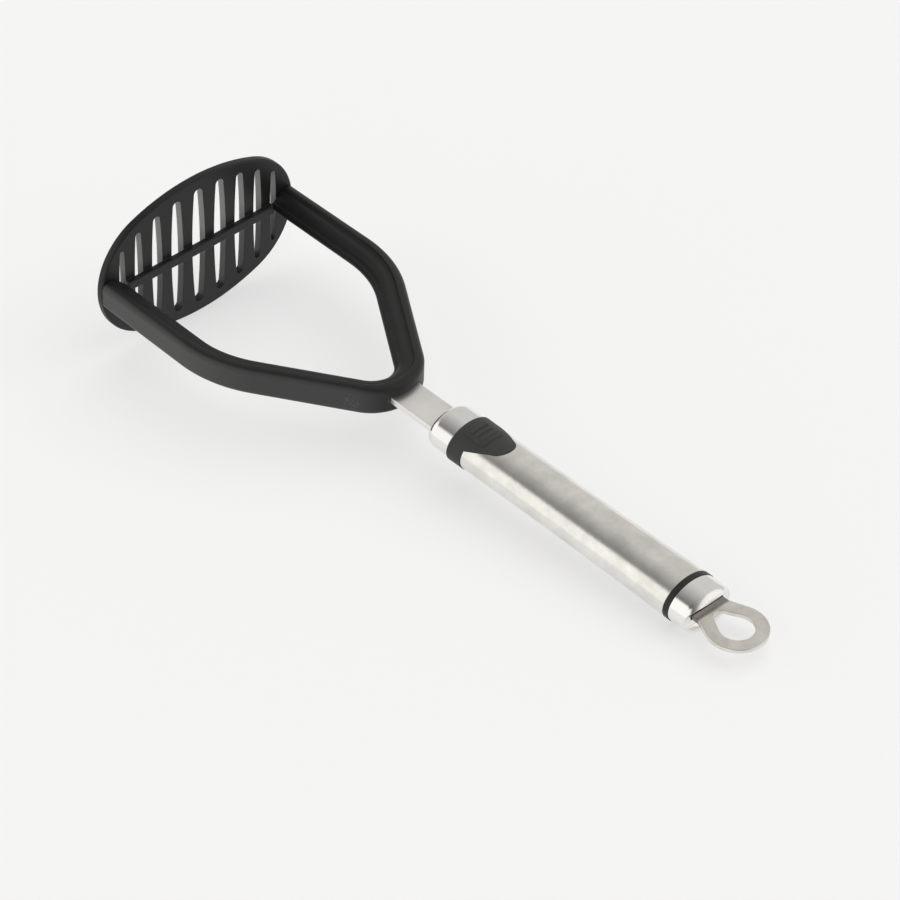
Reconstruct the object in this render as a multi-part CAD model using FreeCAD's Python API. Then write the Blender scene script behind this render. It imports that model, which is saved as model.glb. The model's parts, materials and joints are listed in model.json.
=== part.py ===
import FreeCAD, Part
import math
import os

# Hand masher lying on a table: an oval slotted plate, a forked frame and an oval steel handle.
# The parts are laid out along the handle axis (x from the plate to the hanging loop, y along
# the plate's long side, z up) and tilted at the end so that the plate rim and the end cap
# both touch the table.

os.makedirs("parts", exist_ok=True)
V = FreeCAD.Vector

# ---- driving sizes in millimetres ----

# slotted plate
plate_half_width = 43.8
plate_half_height = 29.3
plate_end_ratio = 0.88
plate_thick = 3.0
plate_edge_round = 0.7
slot_half_widths = [2.95, 2.7, 2.35, 1.85, 1.4]
slot_end_ratio = 0.65
slat_width = 4.1
slot_margin = 4.5
rib_half_height = 1.8
rib_proud = 2.0

# forked frame, sized by its outer face
arm_inset = 0.1
fork_bend_x = 55.8
fork_leg_angle = 33.4
fork_bend_radius = 48.5
fork_apex_radius = 18.2
fork_depth = 10.2
fork_half_height = 5.6
fork_corner_round = 2.2
arm_corner_round = 3.0
fork_band_width = 3.3
bead_start = 4.8
bead_half_height = 4.2
bead_drop = 0.3
nose_length = 1.3
nose_half_height = 1.7
seam_gap = 0.15

# pegs that join the plate to the fork arms
peg_width = 4.6
peg_height = 3.0
peg_length = 7.0
peg_inset = 2.6

# flat steel shank
shank_width = 12.6
shank_thick = 2.5
shank_exposed = 18.9
shank_in_fork = 7.4
shank_in_handle = 38.0
shank_edge_round = 0.35
anchor_hole_radius = 2.0

# handle, all sections are ellipses
front_half_width = 10.1
front_half_height = 7.4
waist_half_width = 10.0
waist_half_height = 7.3
rear_half_width = 10.75
rear_half_height = 7.9
ferrule_step = 0.3
ferrule_length = 11.2
ferrule_round = 3.6
grip_ring_length = 6.4
tube_length = 94.4
tube_wall = 0.8
rear_ring_length = 2.2
cap_length = 9.3
cap_round = 3.2
cap_step = 0.15

# soft thumb grip
grip_wall = 1.6
grip_proud = 0.2
tongue_length = 13.4
tongue_root_half_width = 8.8
tongue_tip_radius = 5.4
pad_start = 2.4
pad_length = 9.4
pad_half_width = 5.0
pad_height = 0.45
pad_bar_count = 3
pad_bar_width = 1.1
pad_bar_height = 0.35

# inner plugs and cross pins
front_plug_length = 30.0
rear_plug_length = 24.0
pin_radius = 1.5
shank_pin_x = 13.5
shank_pin_half_length = 5.2
loop_pin_x = 3.6
loop_pin_half_length = 5.4

# hanging loop
loop_thick = 1.5
loop_neck_half_width = 7.0
loop_outer_radius = 10.6
loop_inner_radius = 5.9
loop_centre_x = 10.9
loop_tip_x = 4.6
loop_tip_radius = 2.8
loop_tang_length = 20.0
loop_edge_round = 0.3
loop_lift = 0.8
scoop_radius = 4.8
scoop_depth = 2.3

# clearances
fit_gap = 0.05
tongue_gap = 0.15
socket_gap = 0.1
slot_gap = 0.3

# ---- positions along the handle axis ----

angle = math.radians(fork_leg_angle)
arm_outer = plate_half_width - arm_inset
leg_corner_x = fork_bend_x + arm_outer / math.tan(angle)
apex_x = leg_corner_x - fork_apex_radius * (1.0 / math.sin(angle) - 1.0)
bend_start_x = fork_bend_x - fork_bend_radius * math.tan(angle / 2.0)
ferrule_x = apex_x + shank_exposed
grip_x = ferrule_x + ferrule_length
tube_x = grip_x + grip_ring_length
ring_x = tube_x + tube_length
cap_x = ring_x + rear_ring_length
cap_end_x = cap_x + cap_length
cap_half_width = rear_half_width - cap_step
cap_half_height = rear_half_height - cap_step
ferrule_half_width = front_half_width - ferrule_step
ferrule_half_height = front_half_height - ferrule_step


# ---- helpers ----

def box(x0, x1, y0, y1, z0, z1):
    return Part.makeBox(x1 - x0, y1 - y0, z1 - z0, V(x0, y0, z0))


def arc(a, b, c):
    return Part.Arc(a, b, c).toShape()


def line(a, b):
    return Part.makeLine(a, b)


def prism(edges, direction):
    return Part.Face(Part.Wire(edges)).extrude(direction)


def fused(shapes):
    return shapes[0].multiFuse(shapes[1:]).removeSplitter()


def mirrored(shape):
    return shape.mirror(V(0, 0, 0), V(0, 1, 0))


def ellipse_wire(x, half_width, half_height):
    curve = Part.Ellipse(V(x, half_width, 0), V(x, 0, half_height), V(x, 0, 0))
    return Part.Wire([curve.toShape()])


def ellipse_rod(x0, x1, half_width, half_height):
    return Part.Face(ellipse_wire(x0, half_width, half_height)).extrude(V(x1 - x0, 0, 0))


def rounded_end(shape, x_end, radius):
    # rounds the single closed edge of an elliptical rod at x_end
    rim = []
    for edge in shape.Edges:
        box_x = edge.BoundBox
        if abs(box_x.XMin - x_end) < 1e-3 and abs(box_x.XMax - x_end) < 1e-3:
            rim.append(edge)
    return shape.makeFillet(radius, rim)


def handle_body(offset, x0, x1):
    # the smooth waisted handle between the ferrule and the rear ring, grown by offset
    x_mid = tube_x + 0.4 * tube_length
    wires = [
        ellipse_wire(grip_x, front_half_width + offset, front_half_height + offset),
        ellipse_wire(x_mid, waist_half_width + offset, waist_half_height + offset),
        ellipse_wire(ring_x, rear_half_width + offset, rear_half_height + offset),
    ]
    solid = Part.makeLoft(wires, True, False)
    return solid.common(box(x0, x1, -40, 40, -40, 40))


# ---- slotted plate ----

end_radius = plate_end_ratio * plate_half_height
end_centre = plate_half_width - end_radius
spare = plate_half_height - end_radius
side_radius = (plate_half_height ** 2 + end_centre ** 2 - end_radius ** 2) / (2.0 * spare)
side_centre = plate_half_height - side_radius
reach = math.hypot(end_centre, side_centre)
meet_y = end_centre + end_radius * end_centre / reach
meet_z = -end_radius * side_centre / reach


def plate_edge_height(y):
    # half height of the four-arc oval at a distance y from its middle
    if y < meet_y:
        return side_centre + math.sqrt(side_radius ** 2 - y ** 2)
    return math.sqrt(end_radius ** 2 - (y - end_centre) ** 2)


right_arc = arc(V(0, meet_y, -meet_z), V(0, plate_half_width, 0), V(0, meet_y, meet_z))
top_arc = arc(V(0, meet_y, meet_z), V(0, 0, plate_half_height), V(0, -meet_y, meet_z))
left_arc = arc(V(0, -meet_y, meet_z), V(0, -plate_half_width, 0), V(0, -meet_y, -meet_z))
bottom_arc = arc(V(0, -meet_y, -meet_z), V(0, 0, -plate_half_height), V(0, meet_y, -meet_z))
plate = prism([right_arc, top_arc, left_arc, bottom_arc], V(-plate_thick, 0, 0))
flat_edges = [e for e in plate.Edges if e.BoundBox.XLength < 1e-3]
plate = plate.makeFillet(plate_edge_round, flat_edges)


def barrel_slot(y, half_width, half_height):
    # a slot bowed out at mid height, with round ends
    end = half_width * slot_end_ratio
    top = half_height - end
    x = 1.0
    edges = [
        arc(V(x, y - end, -top), V(x, y - half_width, 0), V(x, y - end, top)),
        arc(V(x, y - end, top), V(x, y, half_height), V(x, y + end, top)),
        arc(V(x, y + end, top), V(x, y + half_width, 0), V(x, y + end, -top)),
        arc(V(x, y + end, -top), V(x, y, -half_height), V(x, y - end, -top)),
    ]
    return prism(edges, V(-plate_thick - 2.0, 0, 0))


slots = []
slot_y = 0.0
for i, half_width in enumerate(slot_half_widths):
    if i > 0:
        slot_y += slot_half_widths[i - 1] + slat_width + half_width
    half_height = plate_edge_height(slot_y) - slot_margin
    slots.append(barrel_slot(slot_y, half_width, half_height))
    if i > 0:
        slots.append(barrel_slot(-slot_y, half_width, half_height))
plate = plate.cut(slots)

rib_half_length = arm_outer - fork_depth - slot_gap
rib = box(0, rib_proud, -rib_half_length, rib_half_length, -rib_half_height, rib_half_height)
rib_edges = [e for e in rib.Edges if e.BoundBox.XMin > rib_proud - 1e-3 and e.BoundBox.YLength > 1.0]
rib = rib.makeFillet(0.4, rib_edges)
peg_y = arm_outer - peg_inset - peg_width
peg = box(-0.5, peg_length, peg_y, peg_y + peg_width, -peg_height / 2.0, peg_height / 2.0)
masher_plate = fused([plate, rib, peg, mirrored(peg)])


# ---- forked frame ----

def fork_section(x, r, valley_z, valley_pull, bead_top):
    # closed outline across an arm with corner radius r; d runs inward from the outer face
    def p(d, z):
        return V(x, arm_outer - d, z)

    h = fork_half_height
    q = r * (1.0 - math.sqrt(0.5))
    band = fork_band_width
    nose = fork_depth - nose_length
    bead_mid = (bead_start + nose) / 2.0
    pull_d = band + valley_pull[0] * (bead_start - band)
    pull_z = valley_z + valley_pull[1] * (h - valley_z)
    edges = [
        line(p(0, r - h), p(0, h - r)),
        arc(p(0, h - r), p(q, h - q), p(r, h)),
        line(p(r, h), p(band, h)),
        arc(p(band, h), p(pull_d, pull_z), p(bead_start, valley_z)),
        arc(p(bead_start, valley_z), p(bead_mid, bead_top), p(nose, nose_half_height)),
        arc(p(nose, nose_half_height), p(fork_depth, 0), p(nose, -nose_half_height)),
        arc(p(nose, -nose_half_height), p(bead_mid, -bead_top), p(bead_start, -valley_z)),
        arc(p(bead_start, -valley_z), p(pull_d, -pull_z), p(band, -h)),
        line(p(band, -h), p(r, -h)),
        arc(p(r, -h), p(q, q - h), p(0, r - h)),
    ]
    return Part.Wire(edges)


plain_height = 0.86 * fork_half_height
plain_bead_top = 0.66 * fork_half_height
arm_root = fork_section(seam_gap, arm_corner_round, plain_height, (0.55, 0.62), plain_bead_top)
bead_top = bead_half_height - bead_drop
arm_end = fork_section(bend_start_x, fork_corner_round, bead_half_height, (0.3, 0.4), bead_top)
arm = Part.makeLoft([arm_root, arm_end], True, True)

z_axis = V(0, 0, 1)
bend_centre = V(bend_start_x, arm_outer - fork_bend_radius, 0)
apex_centre = V(apex_x - fork_apex_radius, 0, 0)
section_face = Part.Face(arm_end)
bend = section_face.revolve(bend_centre, z_axis, -fork_leg_angle)
leg_face = section_face.copy()
leg_face.rotate(bend_centre, z_axis, -fork_leg_angle)
outward = V(math.sin(angle), math.cos(angle), 0)
leg_start = bend_centre + outward * fork_bend_radius
leg_end = apex_centre + outward * fork_apex_radius
leg = leg_face.extrude(leg_end - leg_start)
apex_face = leg_face.copy()
apex_face.translate(leg_end - leg_start)
apex = apex_face.revolve(apex_centre, z_axis, 2.0 * fork_leg_angle - 180.0)
half_fork = [arm, bend, leg]
yoke = fused(half_fork + [apex] + [mirrored(s) for s in half_fork])

peg_socket = box(
    0,
    peg_length + socket_gap,
    peg_y - socket_gap,
    peg_y + peg_width + socket_gap,
    -peg_height / 2.0 - socket_gap,
    peg_height / 2.0 + socket_gap,
)
shank_x0 = apex_x - shank_in_fork
anchor_x = shank_x0 + 0.5 * shank_in_fork
shank_pocket = box(
    shank_x0 - fit_gap,
    apex_x + 5.0,
    -shank_width / 2.0 - fit_gap,
    shank_width / 2.0 + fit_gap,
    -shank_thick / 2.0 - fit_gap,
    shank_thick / 2.0 + fit_gap,
)
post_z = shank_thick / 2.0 + 1.0
anchor_post = Part.makeCylinder(anchor_hole_radius - fit_gap, 2.0 * post_z, V(anchor_x, 0, -post_z))
yoke = yoke.cut([peg_socket, mirrored(peg_socket), shank_pocket.cut(anchor_post)])


# ---- flat shank ----

shank_x1 = ferrule_x + shank_in_handle
shank = box(shank_x0, shank_x1, -shank_width / 2.0, shank_width / 2.0, -shank_thick / 2.0, shank_thick / 2.0)
long_edges = [e for e in shank.Edges if e.BoundBox.XLength > 1.0]
shank = shank.makeFillet(shank_edge_round, long_edges)
anchor_hole = Part.makeCylinder(anchor_hole_radius, 10, V(anchor_x, 0, -5))
shank_hole = Part.makeCylinder(pin_radius + fit_gap, 40, V(tube_x + shank_pin_x, 0, -20))
shank = shank.cut([anchor_hole, shank_hole])


# ---- front ferrule ----

ferrule = ellipse_rod(ferrule_x, grip_x - fit_gap, ferrule_half_width, ferrule_half_height)
ferrule = rounded_end(ferrule, ferrule_x, ferrule_round)
ferrule_core = ellipse_rod(
    ferrule_x + tube_wall,
    grip_x + 1.0,
    ferrule_half_width - tube_wall,
    ferrule_half_height - tube_wall,
)
ferrule_core = rounded_end(ferrule_core, ferrule_x + tube_wall, ferrule_round - tube_wall)
ferrule_mouth = box(
    ferrule_x - 1.0,
    ferrule_x + ferrule_round,
    -shank_width / 2.0 - slot_gap,
    shank_width / 2.0 + slot_gap,
    -shank_thick / 2.0 - slot_gap,
    shank_thick / 2.0 + slot_gap,
)
front_ferrule = ferrule.cut([ferrule_core, ferrule_mouth])


# ---- thumb grip: a ring with a rounded tongue along the top ----

def tongue_prism(grow):
    # plan outline of the tongue from the ring back to its round tip, extruded upward
    root = tongue_root_half_width + grow
    radius = tongue_tip_radius + grow
    tip_centre = tube_x + tongue_length - tongue_tip_radius
    spread = root - radius
    run = tip_centre - tube_x
    lean = math.atan2(spread, run) * 0.55
    start = tube_x - 1.0
    shoulder = V(tip_centre + radius * math.sin(lean), radius * math.cos(lean), 0)
    waist = V(tube_x + 0.45 * run, radius + 0.62 * spread, 0)
    root_point = V(start, root, 0)
    edges = [
        line(V(start, -root, 0), root_point),
        arc(root_point, waist, shoulder),
        arc(shoulder, V(tip_centre + radius, 0, 0), V(shoulder.x, -shoulder.y, 0)),
        arc(V(shoulder.x, -shoulder.y, 0), V(waist.x, -waist.y, 0), V(start, -root, 0)),
    ]
    return prism(edges, V(0, 0, 30))


grip_span = box(grip_x, tube_x, -40, 40, -40, 40)
grip_zone = grip_span.fuse(tongue_prism(0.0))
grip_end_x = tube_x + tongue_length + 2.0
grip_outer = handle_body(grip_proud, grip_x, grip_end_x)
grip_inner = handle_body(-grip_wall, grip_x - 1.0, grip_end_x)
thumb_grip = grip_outer.cut(grip_inner).common(grip_zone)

pad_x0 = grip_x + pad_start
pad_x1 = pad_x0 + pad_length
pad_zone = box(pad_x0, pad_x1, -pad_half_width, pad_half_width, 0, 30)
pad_edges = [e for e in pad_zone.Edges if e.BoundBox.ZLength > 5.0]
pad_zone = pad_zone.makeFillet(1.2, pad_edges)
pad_shell = handle_body(grip_proud + pad_height, pad_x0 - 1.0, pad_x1 + 1.0)
pad = pad_shell.cut(grip_inner).common(pad_zone)
bar_pitch = pad_length / (pad_bar_count + 1.0)
bar_shell = handle_body(grip_proud + pad_height + pad_bar_height, pad_x0 - 1.0, pad_x1 + 1.0)
bar_reach = pad_half_width - 1.4
half_bar = pad_bar_width / 2.0
bars = []
for i in range(pad_bar_count):
    bar_x = pad_x0 + (i + 1) * bar_pitch
    bar_zone = box(bar_x - half_bar, bar_x + half_bar, -bar_reach, bar_reach, 0, 30)
    bars.append(bar_shell.cut(grip_inner).common(bar_zone))
thumb_grip = fused([thumb_grip, pad] + bars)


# ---- handle tube ----

tube_outer = handle_body(0.0, tube_x + fit_gap, ring_x - fit_gap)
tube_inner = handle_body(-tube_wall, tube_x - 1.0, ring_x + 1.0)
handle_tube = tube_outer.cut([tube_inner, tongue_prism(tongue_gap)])


# ---- front plug, holding the shank ----

plug_spigot = ellipse_rod(
    ferrule_x + tube_wall + fit_gap,
    grip_x,
    ferrule_half_width - tube_wall - fit_gap,
    ferrule_half_height - tube_wall - fit_gap,
)
plug_spigot = rounded_end(plug_spigot, ferrule_x + tube_wall + fit_gap, ferrule_round - tube_wall)
plug_body = handle_body(-tube_wall - fit_gap, grip_x, tube_x + front_plug_length)
recess_core = handle_body(-grip_wall - fit_gap, grip_x - 1.0, grip_end_x + 1.0)
grip_recess = handle_body(2.0, grip_x, grip_end_x).cut(recess_core)
recess_zone = box(grip_x, tube_x + fit_gap, -40, 40, -40, 40).fuse(tongue_prism(tongue_gap))
plug_body = plug_body.cut(grip_recess.common(recess_zone))
tang_slot = box(
    ferrule_x - 1.0,
    shank_x1 + fit_gap,
    -shank_width / 2.0 - fit_gap,
    shank_width / 2.0 + fit_gap,
    -shank_thick / 2.0 - fit_gap,
    shank_thick / 2.0 + fit_gap,
)
pin_hole_z = shank_pin_half_length + fit_gap
pin_x = tube_x + shank_pin_x
shank_pin_hole = Part.makeCylinder(pin_radius + fit_gap, 2.0 * pin_hole_z, V(pin_x, 0, -pin_hole_z))
front_plug = plug_spigot.fuse(plug_body).removeSplitter().cut([tang_slot, shank_pin_hole])
pin_z = shank_pin_half_length
shank_pin = Part.makeCylinder(pin_radius, 2.0 * pin_z, V(pin_x, 0, -pin_z))


# ---- end cap with a scoop across its end ----

def scoop(grow):
    centre_x = cap_end_x + scoop_radius - scoop_depth
    return Part.makeCylinder(scoop_radius + grow, 60, V(centre_x, -30, loop_lift), V(0, 1, 0))


cap_solid = ellipse_rod(cap_x + fit_gap, cap_end_x, cap_half_width, cap_half_height)
cap_solid = rounded_end(cap_solid, cap_end_x, cap_round)
cap_hollow = ellipse_rod(
    cap_x - 1.0,
    cap_end_x - tube_wall,
    cap_half_width - tube_wall,
    cap_half_height - tube_wall,
)
cap_hollow = rounded_end(cap_hollow, cap_end_x - tube_wall, cap_round - tube_wall)
cap_hollow = cap_hollow.cut(scoop(tube_wall))
neck_mouth = box(
    cap_end_x - scoop_depth - 3.0,
    cap_end_x + 5.0,
    -loop_neck_half_width - slot_gap,
    loop_neck_half_width + slot_gap,
    loop_lift - loop_thick / 2.0 - slot_gap,
    loop_lift + loop_thick / 2.0 + slot_gap,
)
end_cap = cap_solid.cut(scoop(0.0)).cut([cap_hollow, neck_mouth])


# ---- rear plug: visible ring, body inside the tube and spigot inside the cap ----

plug_ring = ellipse_rod(ring_x, cap_x, rear_half_width + fit_gap, rear_half_height + fit_gap)
rear_body = handle_body(-tube_wall - fit_gap, ring_x - rear_plug_length, ring_x)
cap_spigot = ellipse_rod(
    cap_x,
    cap_end_x - tube_wall - fit_gap,
    cap_half_width - tube_wall - fit_gap,
    cap_half_height - tube_wall - fit_gap,
)
cap_spigot = rounded_end(cap_spigot, cap_end_x - tube_wall - fit_gap, cap_round - tube_wall)
cap_spigot = cap_spigot.cut(scoop(tube_wall + fit_gap))
loop_x0 = cap_end_x - loop_tang_length
loop_slot = box(
    loop_x0 - fit_gap,
    cap_end_x + 5.0,
    -loop_neck_half_width - fit_gap,
    loop_neck_half_width + fit_gap,
    loop_lift - loop_thick / 2.0 - fit_gap,
    loop_lift + loop_thick / 2.0 + fit_gap,
)
loop_hole_z = loop_pin_half_length + fit_gap
loop_hole_x = cap_x + loop_pin_x
loop_pin_hole = Part.makeCylinder(pin_radius + fit_gap, 2.0 * loop_hole_z, V(loop_hole_x, 0, -loop_hole_z))
rear_plug = fused([plug_ring, rear_body, cap_spigot]).cut([loop_slot, loop_pin_hole])
loop_pin_z = loop_pin_half_length
loop_pin = Part.makeCylinder(pin_radius, 2.0 * loop_pin_z, V(loop_hole_x, 0, -loop_pin_z))


# ---- hanging loop ----

def tangent_point(px, py, cx, radius):
    # where the outer tangent from (px, py) touches a circle centred on the axis at cx
    dx = cx - px
    reach_sq = dx * dx + py * py
    turn = math.atan2(-py, dx) + math.asin(radius / math.sqrt(reach_sq))
    return cx - radius * math.sin(turn), radius * math.cos(turn)


loop_c = cap_end_x + loop_centre_x
neck_x = cap_end_x + 0.2
neck = loop_neck_half_width
tx, ty = tangent_point(neck_x, neck, loop_c, loop_outer_radius)
z0 = loop_lift - loop_thick / 2.0
outer_edges = [
    line(V(loop_x0, -neck, z0), V(loop_x0, neck, z0)),
    line(V(loop_x0, neck, z0), V(neck_x, neck, z0)),
    line(V(neck_x, neck, z0), V(tx, ty, z0)),
    arc(V(tx, ty, z0), V(loop_c + loop_outer_radius, 0, z0), V(tx, -ty, z0)),
    line(V(tx, -ty, z0), V(neck_x, -neck, z0)),
    line(V(neck_x, -neck, z0), V(loop_x0, -neck, z0)),
]
hanging_loop = prism(outer_edges, V(0, 0, loop_thick))

tip_c = cap_end_x + loop_tip_x
slope = (loop_inner_radius - loop_tip_radius) / (loop_c - tip_c)
rise = math.sqrt(1.0 - slope * slope)
tip_x = tip_c - loop_tip_radius * slope
tip_y = loop_tip_radius * rise
big_x = loop_c - loop_inner_radius * slope
big_y = loop_inner_radius * rise
hole_edges = [
    line(V(tip_x, tip_y, z0 - 1), V(big_x, big_y, z0 - 1)),
    arc(V(big_x, big_y, z0 - 1), V(loop_c + loop_inner_radius, 0, z0 - 1), V(big_x, -big_y, z0 - 1)),
    line(V(big_x, -big_y, z0 - 1), V(tip_x, -tip_y, z0 - 1)),
    arc(V(tip_x, -tip_y, z0 - 1), V(tip_c - loop_tip_radius, 0, z0 - 1), V(tip_x, tip_y, z0 - 1)),
]
hanging_loop = hanging_loop.cut(prism(hole_edges, V(0, 0, loop_thick + 2.0)))
flat_loop_edges = [e for e in hanging_loop.Edges if e.BoundBox.ZLength < 1e-3]
loop_edges = [e for e in flat_loop_edges if e.BoundBox.XMin > neck_x - 1e-3]
hanging_loop = hanging_loop.makeFillet(loop_edge_round, loop_edges)
hanging_loop = hanging_loop.cut(Part.makeCylinder(pin_radius + fit_gap, 10, V(loop_hole_x, 0, -5)))


# ---- resting pose: the plate rim and the end cap both touch the table ----

rim = plate_edge_round
run = rim + cap_end_x - cap_round
drop = plate_half_height - rim - cap_half_height + cap_round
tilt = math.atan2(drop, run) + math.asin((rim - cap_round) / math.hypot(drop, run))
floor_z = rim * math.sin(tilt) - (plate_half_height - rim) * math.cos(tilt) - rim
x_low = (rim - plate_thick) * math.cos(tilt) - (plate_half_height - rim) * math.sin(tilt) - rim
loop_end = loop_c + loop_outer_radius - loop_edge_round
loop_rise = loop_lift + loop_thick / 2.0 - loop_edge_round
x_high = loop_end * math.cos(tilt) + loop_rise * math.sin(tilt) + loop_edge_round

nodes = {
    "masher_plate": masher_plate,
    "yoke": yoke,
    "shank": shank,
    "front_ferrule": front_ferrule,
    "front_plug": front_plug,
    "shank_pin": shank_pin,
    "thumb_grip": thumb_grip,
    "handle_tube": handle_tube,
    "rear_plug": rear_plug,
    "end_cap": end_cap,
    "hanging_loop": hanging_loop,
    "loop_pin": loop_pin,
}

for name, shape in nodes.items():
    placed = shape.copy()
    placed.rotate(V(0, 0, 0), V(0, 1, 0), math.degrees(tilt))
    placed.translate(V(-(x_low + x_high) / 2.0, 0, -floor_z))
    placed.exportStep("parts/" + name + ".step")
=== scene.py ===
import json
import math

import bpy
from mathutils import Matrix, Vector


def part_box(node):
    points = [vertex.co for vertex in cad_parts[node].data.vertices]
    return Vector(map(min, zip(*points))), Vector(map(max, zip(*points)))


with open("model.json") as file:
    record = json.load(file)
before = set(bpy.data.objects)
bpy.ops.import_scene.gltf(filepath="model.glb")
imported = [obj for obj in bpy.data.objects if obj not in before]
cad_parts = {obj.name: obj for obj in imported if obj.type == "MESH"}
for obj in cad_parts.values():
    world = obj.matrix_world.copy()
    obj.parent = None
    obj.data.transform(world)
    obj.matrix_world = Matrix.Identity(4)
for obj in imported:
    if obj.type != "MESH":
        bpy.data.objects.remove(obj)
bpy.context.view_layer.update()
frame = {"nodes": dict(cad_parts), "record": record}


# ---- masher plate ----
# An oval plate moulded in black nylon, with nine barrel-shaped slots and one stiffening rib
# across its handle side. The moulding has a fine even grain, and its edges are a little rubbed.

def node(tree, kind, inputs=None, **settings):
    """A new node with its settings. An input is given a value or linked from a socket."""
    made = tree.nodes.new(kind)
    for name, value in settings.items():
        setattr(made, name, value)
    for name, value in (inputs or {}).items():
        if isinstance(value, bpy.types.NodeSocket):
            tree.links.new(value, made.inputs[name])
        else:
            made.inputs[name].default_value = value
    return made


def noise(tree, vector, scale, detail, roughness=0.5):
    inputs = {"Vector": vector, "Scale": scale, "Detail": detail, "Roughness": roughness}
    return node(tree, "ShaderNodeTexNoise", inputs).outputs["Fac"]


def ramp(tree, value, start, end, low=0.0, high=1.0, shape="LINEAR"):
    """From low at start to high at end, and level beyond them. The start may be the larger."""
    inputs = {"Value": value, "From Min": start, "From Max": end, "To Min": low, "To Max": high}
    return node(tree, "ShaderNodeMapRange", inputs, interpolation_type=shape).outputs["Result"]


def maths(tree, operation, first, second=0.0):
    return node(tree, "ShaderNodeMath", {0: first, 1: second}, operation=operation).outputs["Value"]


def compare(tree, operation, first, second):
    """One number from two vectors, such as their dot product or the distance between them."""
    made = node(tree, "ShaderNodeVectorMath", {0: first, 1: second}, operation=operation)
    return made.outputs["Value"]


def parts_of(tree, vector):
    return node(tree, "ShaderNodeSeparateXYZ", {"Vector": vector}).outputs


def place_on(tree):
    return node(tree, "ShaderNodeTexCoord").outputs["Object"]


def blend_colour(tree, factor, low, high):
    """A blend of two colours, each an RGB tuple or a socket."""
    ends = [(*end, 1.0) if isinstance(end, tuple) else end for end in (low, high)]
    inputs = {"Factor": factor, 6: ends[0], 7: ends[1]}
    return node(tree, "ShaderNodeMix", inputs, data_type="RGBA").outputs[2]


def group(name, inputs, outputs):
    """A shader group with its named sockets. Its tree and the values it is given come back."""
    tree = bpy.data.node_groups.new(name, "ShaderNodeTree")
    for label, kind, value in inputs:
        socket = tree.interface.new_socket(label, in_out="INPUT", socket_type=kind)
        if value is not None:
            socket.default_value = value
    for label, kind in outputs:
        tree.interface.new_socket(label, in_out="OUTPUT", socket_type=kind)
    return tree, node(tree, "NodeGroupInput").outputs


# fine even grain of a moulding, with broad cloudy patches
grain, grain_in = group(
    "moulded_grain",
    [("Vector", "NodeSocketVector", None), ("Grain Scale", "NodeSocketFloat", 2200.0),
     ("Patch Scale", "NodeSocketFloat", 45.0)],
    [("Height", "NodeSocketFloat"), ("Patch", "NodeSocketFloat")],
)
node(grain, "NodeGroupOutput", {
    "Height": noise(grain, grain_in["Vector"], grain_in["Grain Scale"], 3.0, 0.6),
    "Patch": noise(grain, grain_in["Vector"], grain_in["Patch Scale"], 4.0, 0.55),
})

# edge mask: how far the rounded normal leans from the flat one, broken up by noise. On the nylon it
# paints rubbed edges, real wear; on the steel it paints a dark edge reflection
rub_and_reflection, rub_and_reflection_in = group(
    "rubbed_and_reflecting_edge",
    [("Vector", "NodeSocketVector", None), ("Radius", "NodeSocketFloat", 0.0004),
     ("Break Scale", "NodeSocketFloat", 160.0)],
    [("Rub And Reflection", "NodeSocketFloat"), ("Soft Normal", "NodeSocketVector")],
)
soft_normal = node(rub_and_reflection, "ShaderNodeBevel", {"Radius": rub_and_reflection_in["Radius"]}, samples=6).outputs["Normal"]
flat_normal = node(rub_and_reflection, "ShaderNodeNewGeometry").outputs["Normal"]
leaning = ramp(rub_and_reflection, compare(rub_and_reflection, "DOT_PRODUCT", soft_normal, flat_normal), 0.975, 0.85)
broken = ramp(rub_and_reflection, noise(rub_and_reflection, rub_and_reflection_in["Vector"], rub_and_reflection_in["Break Scale"], 3.0), 0.35, 0.65)
node(rub_and_reflection, "NodeGroupOutput", {
    "Rub And Reflection": maths(rub_and_reflection, "MULTIPLY", leaning, broken),
    "Soft Normal": soft_normal,
})


def new_material(name):
    material = bpy.data.materials.new(name)
    material.use_nodes = True
    material.node_tree.nodes.clear()
    return material, material.node_tree


def shade(tree, inputs):
    """The shader that a material ends with."""
    shader = node(tree, "ShaderNodeBsdfPrincipled", inputs)
    node(tree, "ShaderNodeOutputMaterial", {"Surface": shader.outputs["BSDF"]})


def base_colour(material):
    """A material's tree, the colour it has so far, and the socket that takes the colour."""
    tree = material.node_tree
    target = tree.nodes["Principled BSDF"].inputs["Base Color"]
    return tree, target.links[0].from_socket, target


def moulded(name, dark, light, rubbed, roughness, grain_scale, grain_depth, edge_radius):
    """Black moulding: two near blacks in patches, paler rubbed edges and a fine grain."""
    material, tree = new_material(name)
    place = place_on(tree)
    grained = node(tree, "ShaderNodeGroup", {
        "Vector": place,
        "Grain Scale": grain_scale,
    }, node_tree=grain).outputs
    edged = node(tree, "ShaderNodeGroup", {
        "Vector": place,
        "Radius": edge_radius,
    }, node_tree=rub_and_reflection).outputs
    body = blend_colour(tree, grained["Patch"], dark, light)
    bump = node(tree, "ShaderNodeBump", {
        "Strength": 0.5,
        "Distance": grain_depth,
        "Height": grained["Height"],
        "Normal": edged["Soft Normal"],
    })
    patchiness = 0.06
    shade(tree, {
        "Base Color": blend_colour(tree, edged["Rub And Reflection"], body, rubbed),
        "Roughness": ramp(
            tree, grained["Patch"], 0.0, 1.0, roughness - patchiness, roughness + patchiness),
        "Specular IOR Level": 0.30,
        "Normal": bump.outputs["Normal"],
    })
    return material


def dress(names, material):
    for name in names:
        mesh = frame["nodes"][name].data
        mesh.materials.clear()
        mesh.materials.append(material)


plate_nylon = moulded(
    "plate_nylon",
    dark=(0.006, 0.006, 0.0062), light=(0.012, 0.012, 0.0122), rubbed=(0.04, 0.04, 0.04),
    roughness=0.44, grain_scale=2600.0, grain_depth=0.00006, edge_radius=0.0004)
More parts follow.
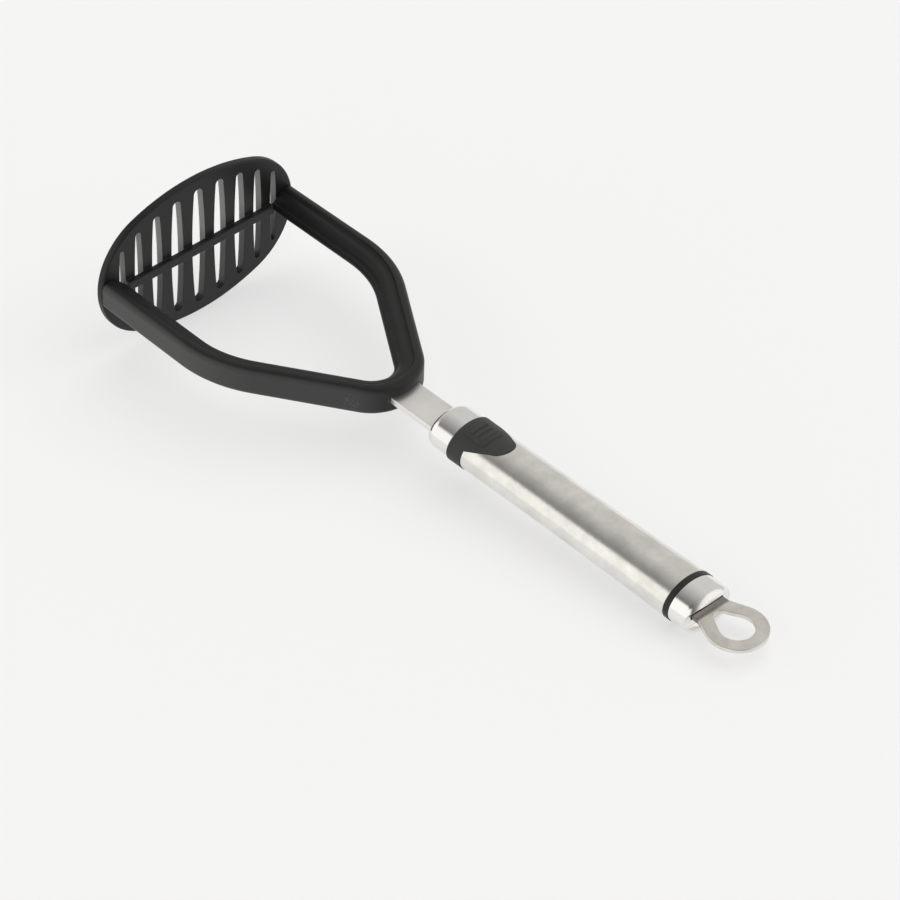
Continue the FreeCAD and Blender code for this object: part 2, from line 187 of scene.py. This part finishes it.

# painted light: the side walls of the slots are painted a paler grey for the light that falls on
# them, palest above the rib
plate_half_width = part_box("masher_plate")[1].y
plate_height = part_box("masher_plate")[1].z
plate_tree, plate_body, plate_colour = base_colour(plate_nylon)
plate_normal = parts_of(plate_tree, node(plate_tree, "ShaderNodeNewGeometry").outputs["True Normal"])
plate_place = parts_of(plate_tree, place_on(plate_tree))
sideways = ramp(plate_tree, maths(plate_tree, "ABSOLUTE", plate_normal["Y"]), 0.88, 0.97)
inside_rim = ramp(
    plate_tree, maths(plate_tree, "ABSOLUTE", plate_place["Y"]),
    plate_half_width - 0.0028, plate_half_width - 0.0048)
above_rib = ramp(plate_tree, plate_place["Z"], 0.376 * plate_height, 0.615 * plate_height)
painted_wall_light = blend_colour(plate_tree, above_rib, (0.065, 0.065, 0.065), (0.24, 0.24, 0.237))
slot_wall_light_mask = maths(plate_tree, "MULTIPLY", sideways, inside_rim)
plate_tree.links.new(blend_colour(plate_tree, slot_wall_light_mask, plate_body, painted_wall_light), plate_colour)
dress(["masher_plate"], plate_nylon)


# ---- forked frame ----
# A Y-shaped frame moulded in the same black nylon. Its outer face is flat, with a rounded ridge
# along the top edge, a hollow inside it and a bead along the inner edge.

frame_nylon = moulded(
    "frame_nylon",
    dark=(0.008, 0.008, 0.0082), light=(0.017, 0.017, 0.0172), rubbed=(0.05, 0.05, 0.05),
    roughness=0.46, grain_scale=2000.0, grain_depth=0.00008, edge_radius=0.0006)
frame_tree, frame_body, frame_colour = base_colour(frame_nylon)
frame_place = place_on(frame_tree)

# painted light and shade: by how far a face looks away from the middle of the frame, outer faces are
# painted paler as if lit and inner ones painted darker as if shaded
frame_side = maths(frame_tree, "SIGN", parts_of(frame_tree, frame_place)["Y"])
frame_normal = parts_of(frame_tree, node(frame_tree, "ShaderNodeNewGeometry").outputs["Normal"])
outward = maths(frame_tree, "MULTIPLY", frame_side, frame_normal["Y"])
for start, end, grey in ((0.45, 1.0, 0.055), (-0.30, -0.80, 0.004)):
    frame_body = blend_colour(
        frame_tree, ramp(frame_tree, outward, start, end), frame_body, (grey, grey, grey))

# light scuffs on the outer face, close to the apex and at the mouth of the shank
apex_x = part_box("yoke")[1].x
scuff_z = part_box("yoke")[0].z + 0.0054
shank_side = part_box("shank")[0].y
scratches = ramp(frame_tree, noise(frame_tree, frame_place, 1500.0, 4.0, 0.7), 0.56, 0.66)
for scuff_place, scuff_radius in (
        (Vector((apex_x - 0.0106, shank_side - 0.0103, scuff_z)), 0.005),
        (Vector((apex_x - 0.0003, shank_side, scuff_z)), 0.004),
):
    away = compare(frame_tree, "DISTANCE", frame_place, scuff_place)
    nearness = ramp(frame_tree, away, scuff_radius, 0.0, shape="SMOOTHSTEP")
    scuffed = maths(frame_tree, "MULTIPLY", nearness, scratches)
    frame_body = blend_colour(frame_tree, scuffed, frame_body, (0.16, 0.16, 0.16))
frame_tree.links.new(frame_body, frame_colour)
dress(["yoke"], frame_nylon)


# ---- flat shank and cross pins ----
# A strip of satin stainless steel that joins the frame to the handle, and the two steel pins
# that lock the shank and the loop inside the handle.

handle_axis = -Vector(frame["record"]["mounts"][0]["axis"])
handle_tilt = math.atan2(-handle_axis.z, handle_axis.x)

# brushed steel: long thin streaks along the first axis of the vector, and cloudy smudges
brush, brush_in = group(
    "brushed_steel",
    [("Vector", "NodeSocketVector", None), ("Streak Scale", "NodeSocketFloat", 900.0),
     ("Streak Length", "NodeSocketFloat", 0.02), ("Smudge Scale", "NodeSocketFloat", 60.0)],
    [("Streak", "NodeSocketFloat"), ("Smudge", "NodeSocketFloat")],
)
squeeze = node(brush, "ShaderNodeCombineXYZ", {"X": brush_in["Streak Length"], "Y": 1.0, "Z": 1.0})
stretched = node(brush, "ShaderNodeVectorMath", {
    0: brush_in["Vector"],
    1: squeeze.outputs["Vector"],
}, operation="MULTIPLY")
node(brush, "NodeGroupOutput", {
    "Streak": noise(brush, stretched.outputs["Vector"], brush_in["Streak Scale"], 3.0, 0.6),
    "Smudge": noise(brush, brush_in["Vector"], brush_in["Smudge Scale"], 5.0, 0.6),
})


def steel(name, dark, light, roughness, roughness_spread, streak_depth,
          streak_length=0.02, smudge_scale=60.0, edge=None, edge_radius=0.00025):
    """Stainless steel, brushed along the handle, its tone and roughness clouded by handling. An edge
    colour, where given, paints a reflection along its edges.
    """
    material, tree = new_material(name)
    place = place_on(tree)
    along = node(tree, "ShaderNodeMapping", {"Vector": place, "Rotation": (0.0, -handle_tilt, 0.0)})
    brushed = node(tree, "ShaderNodeGroup", {
        "Vector": along.outputs["Vector"],
        "Streak Length": streak_length,
        "Smudge Scale": smudge_scale,
    }, node_tree=brush).outputs
    body = blend_colour(tree, ramp(tree, brushed["Smudge"], 0.32, 0.68), dark, light)
    bump = node(tree, "ShaderNodeBump", {
        "Strength": 0.35,
        "Distance": streak_depth,
        "Height": brushed["Streak"],
    })
    if edge:
        edged = node(tree, "ShaderNodeGroup", {
            "Vector": place,
            "Radius": edge_radius,
        }, node_tree=rub_and_reflection).outputs
        tree.links.new(edged["Soft Normal"], bump.inputs["Normal"])
        body = blend_colour(tree, edged["Rub And Reflection"], body, edge)
    shade(tree, {
        "Metallic": 1.0,
        "Base Color": body,
        "Roughness": ramp(
            tree, brushed["Smudge"], 0.0, 1.0,
            roughness + roughness_spread, roughness - roughness_spread),
        "Normal": bump.outputs["Normal"],
    })
    return material


# painted reflection: the edge colour paints a dark reflection along the edges of the shank and the
# pins
satin_steel = steel(
    "satin_steel",
    dark=(0.82, 0.805, 0.775), light=(0.95, 0.935, 0.905), roughness=0.34, roughness_spread=0.05,
    streak_depth=0.00003, edge=(0.05, 0.05, 0.048), edge_radius=0.0005)
dress(["shank", "shank_pin", "loop_pin"], satin_steel)


# ---- front ferrule and end cap ----
# Two drawn steel caps with rounded ends, polished: the ferrule closes the front of the handle
# round the shank, and the end cap carries the scoop where the loop comes out.

# painted reflection: the edge colour paints a darker reflection along the rounded edges of the
# ferrule and the end cap
polished_steel = steel(
    "polished_steel",
    dark=(0.82, 0.81, 0.79), light=(0.92, 0.91, 0.89), roughness=0.13, roughness_spread=0.03,
    streak_depth=0.00001, edge=(0.60, 0.59, 0.57))
dress(["front_ferrule", "end_cap"], polished_steel)


# ---- handle tube ----
# The waisted oval tube of satin stainless steel, finely brushed along its length and a little
# smudged by hands. It is held between the thumb grip in front and the plug behind.

tube_steel = steel(
    "tube_steel",
    dark=(0.71, 0.70, 0.66), light=(0.87, 0.86, 0.82), roughness=0.21, roughness_spread=0.04,
    streak_depth=0.000015, streak_length=0.03, smudge_scale=131.0)
dress(["handle_tube"], tube_steel)


# ---- thumb grip ----
# A soft-touch rubber ring round the front of the tube, with a tongue along the top and a
# raised pad with three bars for the thumb.

soft_black = moulded(
    "soft_black",
    dark=(0.030, 0.030, 0.030), light=(0.044, 0.044, 0.044), rubbed=(0.09, 0.09, 0.09),
    roughness=0.55, grain_scale=3200.0, grain_depth=0.00005, edge_radius=0.0004)
dress(["thumb_grip"], soft_black)


# ---- plastic plugs ----
# Black moulded plugs inside both ends of the handle, which hold the shank and the loop. The
# rear one shows as a thin ring before the end cap.

plug_black = moulded(
    "plug_black",
    dark=(0.014, 0.014, 0.014), light=(0.022, 0.022, 0.022), rubbed=(0.05, 0.05, 0.05),
    roughness=0.42, grain_scale=2600.0, grain_depth=0.00003, edge_radius=0.0003)
dress(["front_plug", "rear_plug"], plug_black)


# ---- hanging loop ----
# A drop-shaped loop stamped from steel strip, satin on its faces, with a dark reflection painted
# along its rounded edges.
# Its tang runs through the end cap into the rear plug, where a pin holds it.

# painted reflection: the edge colour paints a dark reflection along the loop's rounded edges
loop_steel = steel(
    "loop_steel",
    dark=(0.70, 0.675, 0.625), light=(0.86, 0.83, 0.78), roughness=0.36, roughness_spread=0.06,
    streak_depth=0.00003, smudge_scale=180.0, edge=(0.08, 0.075, 0.07), edge_radius=0.0005)

# painted shade: the neck is painted dark where it comes out of the scoop, for the shade inside the
# cap's recess
cap_end = max(handle_axis.dot(vertex.co) for vertex in frame["nodes"]["end_cap"].data.vertices)
loop_tree, loop_body, loop_colour = base_colour(loop_steel)
along_loop = compare(loop_tree, "DOT_PRODUCT", place_on(loop_tree), handle_axis)
painted_neck_shade = ramp(loop_tree, along_loop, cap_end + 0.0002, cap_end + 0.0014, 0.75, 0.0, "SMOOTHSTEP")
loop_tree.links.new(
    blend_colour(loop_tree, painted_neck_shade, loop_body, (0.09, 0.092, 0.085)), loop_colour)
dress(["hanging_loop"], loop_steel)


# ---- table, light and camera ----
# The masher lies on a plain pale table in a studio room: a soft box stands on the left, the room
# brightens towards its back wall, a smaller box fills from the right, and the rest is dim.

table = bpy.data.objects.new("table", bpy.data.meshes.new("table"))
table_reach = 6.0
table_corners = [(-1, -1), (1, -1), (1, 1), (-1, 1)]
table.data.from_pydata(
    [(x * table_reach, y * table_reach, 0.0) for x, y in table_corners], [], [(0, 1, 2, 3)])
bpy.context.scene.collection.objects.link(table)
table_paint, table_tree = new_material("table_paint")
shade(table_tree, {
    "Base Color": (0.36, 0.36, 0.36, 1.0),
    "Roughness": 0.8,
    "Specular IOR Level": 0.1,
    "Emission Color": (1.0, 1.0, 1.0, 1.0),
    "Emission Strength": 0.545,
})
table.data.materials.append(table_paint)

scene = bpy.context.scene
scene.view_settings.view_transform = "Standard"

room = bpy.data.worlds.new("studio_room")
room.use_nodes = True
sky = room.node_tree
sky.nodes.clear()
heading = node(sky, "ShaderNodeTexCoord").outputs["Generated"]
heading_parts = parts_of(sky, heading)


def fade(value, start, end):
    return ramp(sky, value, start, end, shape="SMOOTHSTEP")


def towards(centre):
    """How nearly a heading points to centre, 1 when it does."""
    return compare(sky, "DOT_PRODUCT", heading, Vector(centre).normalized())


box_bottom = fade(heading_parts["Z"], -0.04, 0.02)
box_top = fade(heading_parts["Z"], 0.79, 0.68)
left_box = maths(
    sky, "MULTIPLY",
    fade(towards((-0.35, -0.93, 0.0)), 0.25, 0.60), maths(sky, "MULTIPLY", box_bottom, box_top))
back_wall = ramp(sky, heading_parts["Y"], -0.52, 0.45)
right_box = fade(towards((0.75, 0.55, 0.30)), 0.70, 0.90)
light = 0.14
for source, strength in ((left_box, 1.0), (back_wall, 0.54), (right_box, 0.35)):
    light = maths(sky, "ADD", light, maths(sky, "MULTIPLY", source, strength))

studio = node(sky, "ShaderNodeBackground", {"Color": (1.0, 0.985, 0.96, 1.0), "Strength": light})
backdrop = node(sky, "ShaderNodeBackground", {"Color": (0.91, 0.91, 0.91, 1.0)})
seen = node(sky, "ShaderNodeMixShader", {
    "Fac": node(sky, "ShaderNodeLightPath").outputs["Is Camera Ray"],
    1: studio.outputs["Background"],
    2: backdrop.outputs["Background"],
})
node(sky, "ShaderNodeOutputWorld", {"Surface": seen.outputs["Shader"]})
scene.world = room

ceiling_data = bpy.data.lights.new("ceiling_light", "SUN")
ceiling_data.energy = 1.3
ceiling_data.angle = math.radians(85.0)
ceiling = bpy.data.objects.new("ceiling_light", ceiling_data)
ceiling.rotation_mode = "QUATERNION"
ceiling.rotation_quaternion = Vector((0.20, 0.35, 0.91)).to_track_quat("Z", "Y")
ceiling.visible_glossy = False
scene.collection.objects.link(ceiling)

camera_data = bpy.data.cameras.new("camera")
camera_data.lens = 165.17
camera_data.sensor_width = 36.0
camera_data.clip_start = 0.05
camera = bpy.data.objects.new("camera", camera_data)
camera_place = Vector((0.81141, -0.7335, 0.84938))
camera_aim = Vector((-0.01222, 0.00643, 0.0))
camera_roll = Matrix.Rotation(math.radians(-2.2), 3, "Z")
facing = (camera_aim - camera_place).to_track_quat("-Z", "Y").to_matrix() @ camera_roll
camera.matrix_world = Matrix.Translation(camera_place) @ facing.to_4x4()
scene.collection.objects.link(camera)
scene.camera = camera
